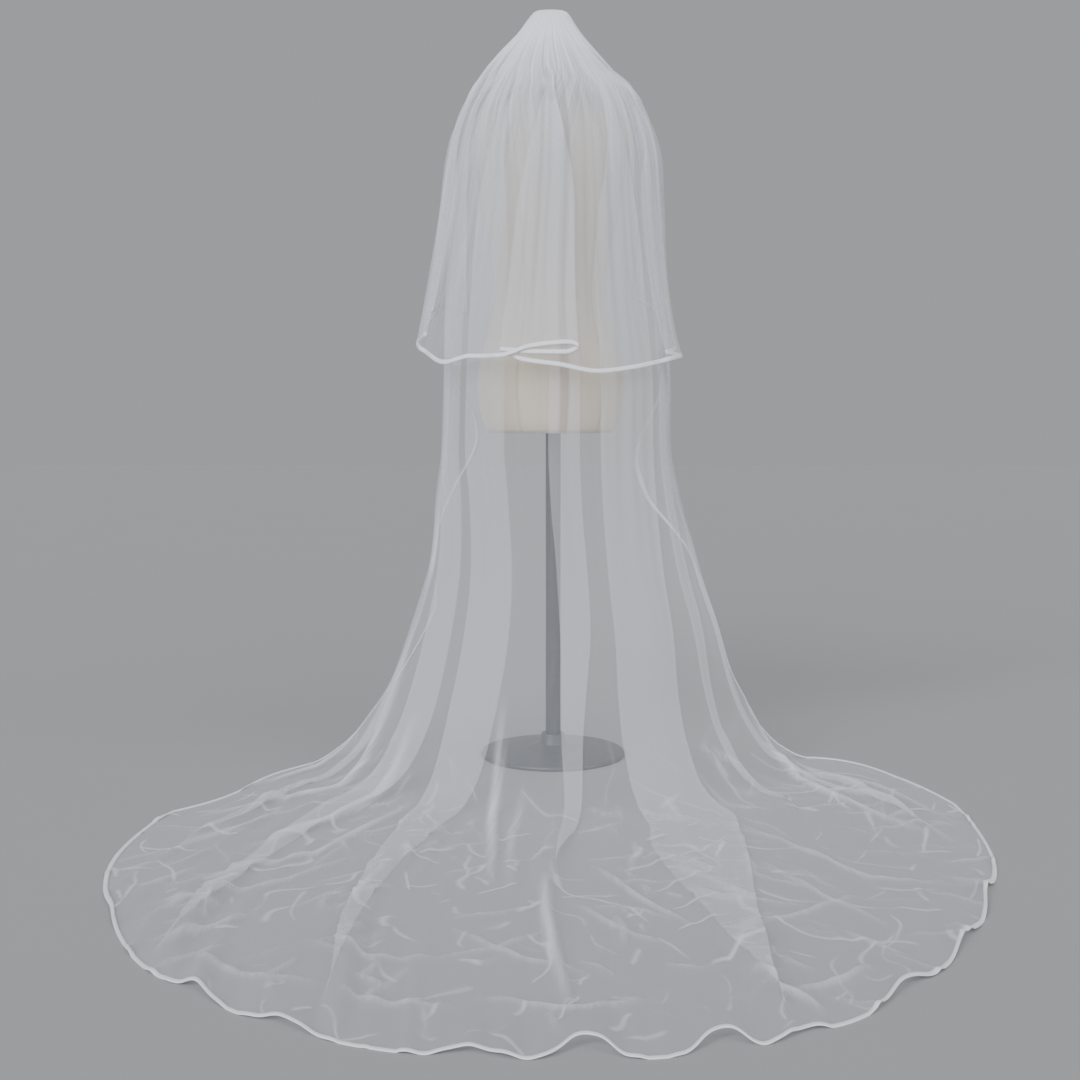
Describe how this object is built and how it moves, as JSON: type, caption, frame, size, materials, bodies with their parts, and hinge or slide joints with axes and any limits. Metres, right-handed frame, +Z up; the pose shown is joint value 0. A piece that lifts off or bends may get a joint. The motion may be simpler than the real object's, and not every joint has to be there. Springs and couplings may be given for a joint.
{
  "type": "bridal veil on dress form",
  "caption": "Long sheer bridal veil in two ribbon-edged tiers, gathered at a comb on the neck of a limbless dress form on a round foot, its train spread on the floor.",
  "frame": {"origin": "middle of the stand's round foot, on the floor", "axes": "+Z up; the wearer faces +Y, so the train runs out along -Y; +X is to the right seen from behind the wearer"},
  "size_m": [1.5634, 1.721, 1.6103],
  "materials": {
    "tulle": "sheer soft tulle",
    "satin_ribbon": "satin",
    "form_cover": "matt jersey",
    "neck_cap": "matt",
    "comb_metal": "polished",
    "stand_paint": "satin black"
  },
  "bodies": {
    "root": {"lower_tier": "tulle", "upper_tier": "tulle", "lower_tier_ribbon": "satin_ribbon", "upper_tier_ribbon": "satin_ribbon", "gather_band": "satin_ribbon", "comb": "comb_metal", "dress_form": "form_cover", "neck_cap": "neck_cap", "stand_pole": "stand_paint", "stand_base": "stand_paint"}
  },
  "joints": []
}
